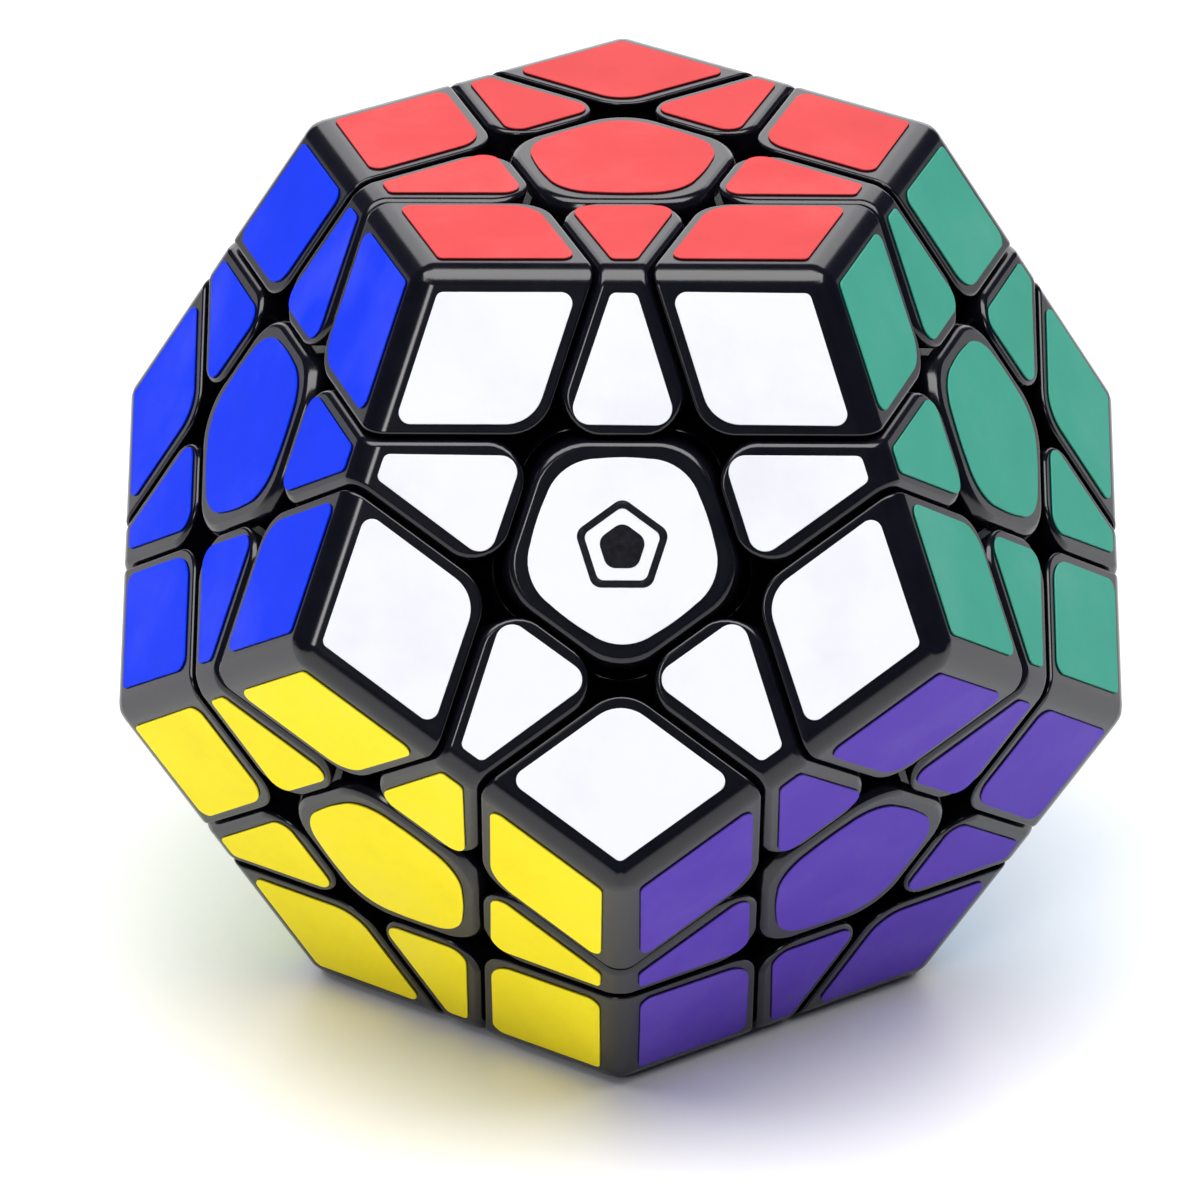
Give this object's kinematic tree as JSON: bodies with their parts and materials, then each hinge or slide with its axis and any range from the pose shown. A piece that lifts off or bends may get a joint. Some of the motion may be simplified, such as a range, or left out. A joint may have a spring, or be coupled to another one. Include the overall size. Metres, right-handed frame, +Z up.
{
  "type": "dodecahedron twisty puzzle",
  "caption": "Twelve-sided twisty puzzle in black plastic with coloured stickers: layers of centre, edge and corner pieces turn about screws in a ball core.",
  "frame": {"origin": "middle of the face that the puzzle stands on, the orange one", "axes": "+Z up through the red face, -Y towards the front, where the white face looks forwards and up, +X to the right of someone in front of it"},
  "size_m": [0.0778, 0.0818, 0.0668],
  "materials": {
    "black_plastic": "satin",
    "core_plastic": "satin",
    "spring_steel": "polished",
    "sticker_white": "satin",
    "sticker_red": "satin",
    "sticker_green": "satin",
    "sticker_cream": "satin",
    "sticker_pink": "satin",
    "sticker_blue": "satin",
    "sticker_purple": "satin",
    "sticker_sky": "satin",
    "sticker_grey": "satin",
    "sticker_lime": "satin",
    "sticker_yellow": "satin",
    "sticker_orange": "satin"
  },
  "bodies": {
    "root": {"core_with_screws_and_nine_centres": "core_plastic", "corner_cream_grey_pink": "black_plastic", "corner_purple_yellow_orange": "black_plastic", "corner_red_cream_pink": "black_plastic", "corner_red_green_cream": "black_plastic", "corner_red_pink_blue": "black_plastic", "edge_blue_yellow": "black_plastic", "edge_cream_grey": "black_plastic", "edge_cream_pink": "black_plastic", "edge_green_cream": "black_plastic", "edge_green_purple": "black_plastic", "edge_grey_orange": "black_plastic", "edge_pink_blue": "black_plastic", "edge_pink_grey": "black_plastic", "edge_purple_orange": "black_plastic", "edge_purple_yellow": "black_plastic", "edge_red_blue": "black_plastic", "edge_red_cream": "black_plastic", "edge_red_green": "black_plastic", "edge_red_pink": "black_plastic", "edge_yellow_orange": "black_plastic"},
    "layer_white": {"cap_white": "black_plastic", "centre_white": "black_plastic", "corner_red_blue_white": "black_plastic", "corner_red_white_green": "black_plastic", "corner_white_blue_yellow": "black_plastic", "corner_white_purple_green": "black_plastic", "corner_white_yellow_purple": "black_plastic", "edge_red_white": "black_plastic", "edge_white_blue": "black_plastic", "edge_white_green": "black_plastic", "edge_white_purple": "black_plastic", "edge_white_yellow": "black_plastic", "spring_white": "spring_steel"},
    "layer_sky": {"cap_sky": "black_plastic", "centre_sky": "black_plastic", "corner_cream_sky_grey": "black_plastic", "corner_green_purple_sky": "black_plastic", "corner_green_sky_cream": "black_plastic", "corner_purple_orange_sky": "black_plastic", "corner_sky_orange_grey": "black_plastic", "edge_cream_sky": "black_plastic", "edge_green_sky": "black_plastic", "edge_purple_sky": "black_plastic", "edge_sky_grey": "black_plastic", "edge_sky_orange": "black_plastic", "spring_sky": "spring_steel"},
    "layer_lime": {"cap_lime": "black_plastic", "centre_lime": "black_plastic", "corner_blue_lime_yellow": "black_plastic", "corner_grey_orange_lime": "black_plastic", "corner_lime_orange_yellow": "black_plastic", "corner_pink_grey_lime": "black_plastic", "corner_pink_lime_blue": "black_plastic", "edge_blue_lime": "black_plastic", "edge_grey_lime": "black_plastic", "edge_lime_orange": "black_plastic", "edge_lime_yellow": "black_plastic", "edge_pink_lime": "black_plastic", "spring_lime": "spring_steel"}
  },
  "joints": [
    {"name": "white_face_turn", "type": "hinge", "parent": "root", "child": "layer_white", "pos_m": [0, 0, 0.03341], "axis": [0, -0.8944, 0.4472], "continuous": true},
    {"name": "sky_face_turn", "type": "hinge", "parent": "root", "child": "layer_sky", "pos_m": [0, 0, 0.03341], "axis": [0.8507, 0.2764, -0.4472], "continuous": true},
    {"name": "lime_face_turn", "type": "hinge", "parent": "root", "child": "layer_lime", "pos_m": [0, 0, 0.03341], "axis": [-0.8507, 0.2764, -0.4472], "continuous": true}
  ]
}
